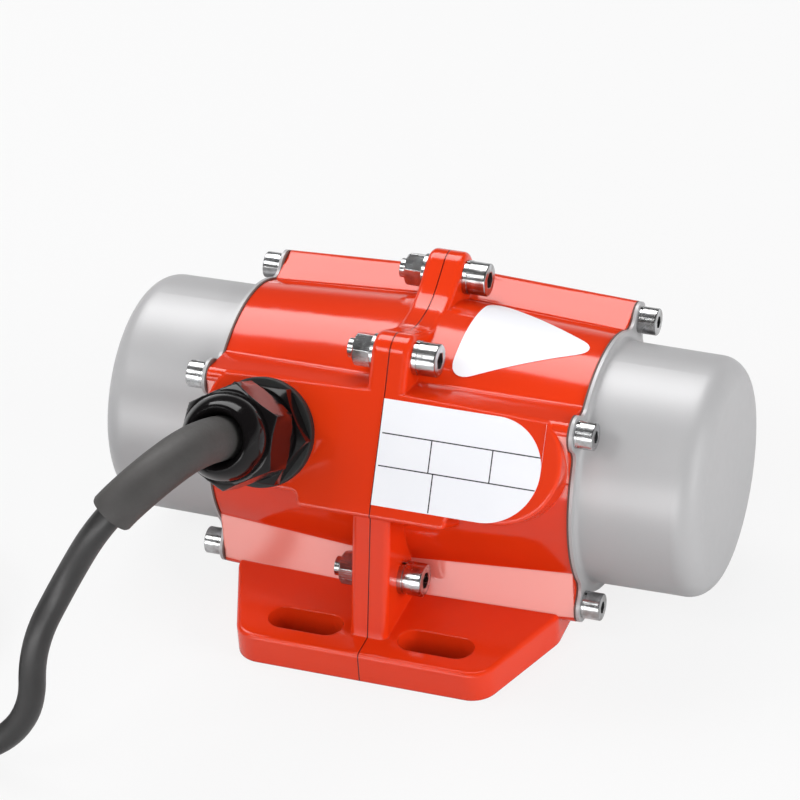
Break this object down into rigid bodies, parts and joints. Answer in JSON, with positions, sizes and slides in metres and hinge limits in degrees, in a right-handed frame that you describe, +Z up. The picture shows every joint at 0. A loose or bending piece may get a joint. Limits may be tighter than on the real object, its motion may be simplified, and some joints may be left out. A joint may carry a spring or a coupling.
{
  "type": "vibration motor",
  "caption": "Foot-mounted electric vibration motor: bolted two-part housing on a slotted foot, deep-drawn end covers over eccentric weights, cable gland with lead.",
  "frame": {"origin": "centre of the four foot slots, on the base face", "axes": "+X along the shaft, from the cable-entry half to the bolt-head half; +Z up, away from the base; the cable gland faces -Y"},
  "size_m": [0.2648, 0.1817, 0.0837],
  "materials": {
    "housing_paint": "gloss orange-red enamel over a die casting",
    "cover_sheet": "satin deep-drawn sheet",
    "gasket": "pale fibre gasket",
    "bright_zinc": "bright zinc plate",
    "bearing_steel": "ground bearing steel",
    "cage_steel": "pressed steel",
    "lamination": "stacked electrical steel",
    "copper_wire": "varnished copper wire",
    "slot_liner": "pale insulating film",
    "cast_aluminium": "as cast",
    "ground_steel": "ground",
    "spring_steel": "phosphated spring steel",
    "weight_steel": "sawn and bored steel",
    "black_screw": "black oxide",
    "seal_rubber": "matt black rubber",
    "gland_nylon": "glossy black nylon",
    "cable_jacket": "smooth black jacket",
    "sleeve_rubber": "matt black sleeve",
    "core_insulation": "smooth insulation",
    "ferrule": "tinned"
  },
  "bodies": {
    "housing": {"bearing_balls_left": "bearing_steel", "bearing_balls_right": "bearing_steel", "bearing_cage_left": "cage_steel", "bearing_cage_right": "cage_steel", "bearing_outer_left": "bearing_steel", "bearing_outer_right": "bearing_steel", "cable_coil": "cable_jacket", "cable_cores": "core_insulation", "cable_entry": "cable_jacket", "cable_run": "cable_jacket", "cable_sleeve": "sleeve_rubber", "cable_tail": "cable_jacket", "core_ferrules": "ferrule", "cover_gasket_left": "gasket", "cover_gasket_right": "gasket", "cover_left": "cover_sheet", "cover_right": "cover_sheet", "cover_screws_left": "bright_zinc", "cover_screws_right": "bright_zinc", "cover_spring_washers_left": "bright_zinc", "cover_spring_washers_right": "bright_zinc", "flange_bolts": "bright_zinc", "flange_flat_washers": "bright_zinc", "flange_nuts": "bright_zinc", "flange_spring_washers": "bright_zinc", "gland_body": "gland_nylon", "gland_insert": "seal_rubber", "gland_nut": "gland_nylon", "gland_washer": "seal_rubber", "housing_left": "housing_paint", "housing_right": "housing_paint", "slot_liners": "slot_liner", "stator_core": "lamination", "stator_windings": "copper_wire", "wave_spring": "spring_steel"},
    "rotor": {"shaft": "ground_steel", "rotor_core": "lamination", "rotor_cage": "cast_aluminium", "bearing_inner_left": "bearing_steel", "bearing_inner_right": "bearing_steel", "spacer_sleeve_left": "ground_steel", "spacer_sleeve_right": "ground_steel", "fixed_weight_left": "weight_steel", "fixed_weight_right": "weight_steel", "fixed_clamp_screw_left": "black_screw", "fixed_clamp_screw_right": "black_screw", "weight_key_left": "ground_steel", "weight_key_right": "ground_steel", "end_washer_left": "bright_zinc", "end_washer_right": "bright_zinc", "circlip_left": "spring_steel", "circlip_right": "spring_steel"},
    "left_adjustable": {"adjustable_weight_left": "weight_steel", "adjustable_clamp_screw_left": "black_screw"},
    "right_adjustable": {"adjustable_weight_right": "weight_steel", "adjustable_clamp_screw_right": "black_screw"}
  },
  "joints": [
    {"name": "rotor_spin", "type": "hinge", "parent": "housing", "child": "rotor", "pos_m": [0, 0, 0.036], "axis": [1, 0, 0], "continuous": true},
    {"name": "left_weight_setting", "type": "hinge", "parent": "rotor", "child": "left_adjustable", "pos_m": [-0.06525, 0, 0.036], "axis": [1, 0, 0], "range_deg": [0, 180]},
    {"name": "right_weight_setting", "type": "hinge", "parent": "rotor", "child": "right_adjustable", "pos_m": [0.06525, 0, 0.036], "axis": [1, 0, 0], "range_deg": [0, 180]}
  ]
}
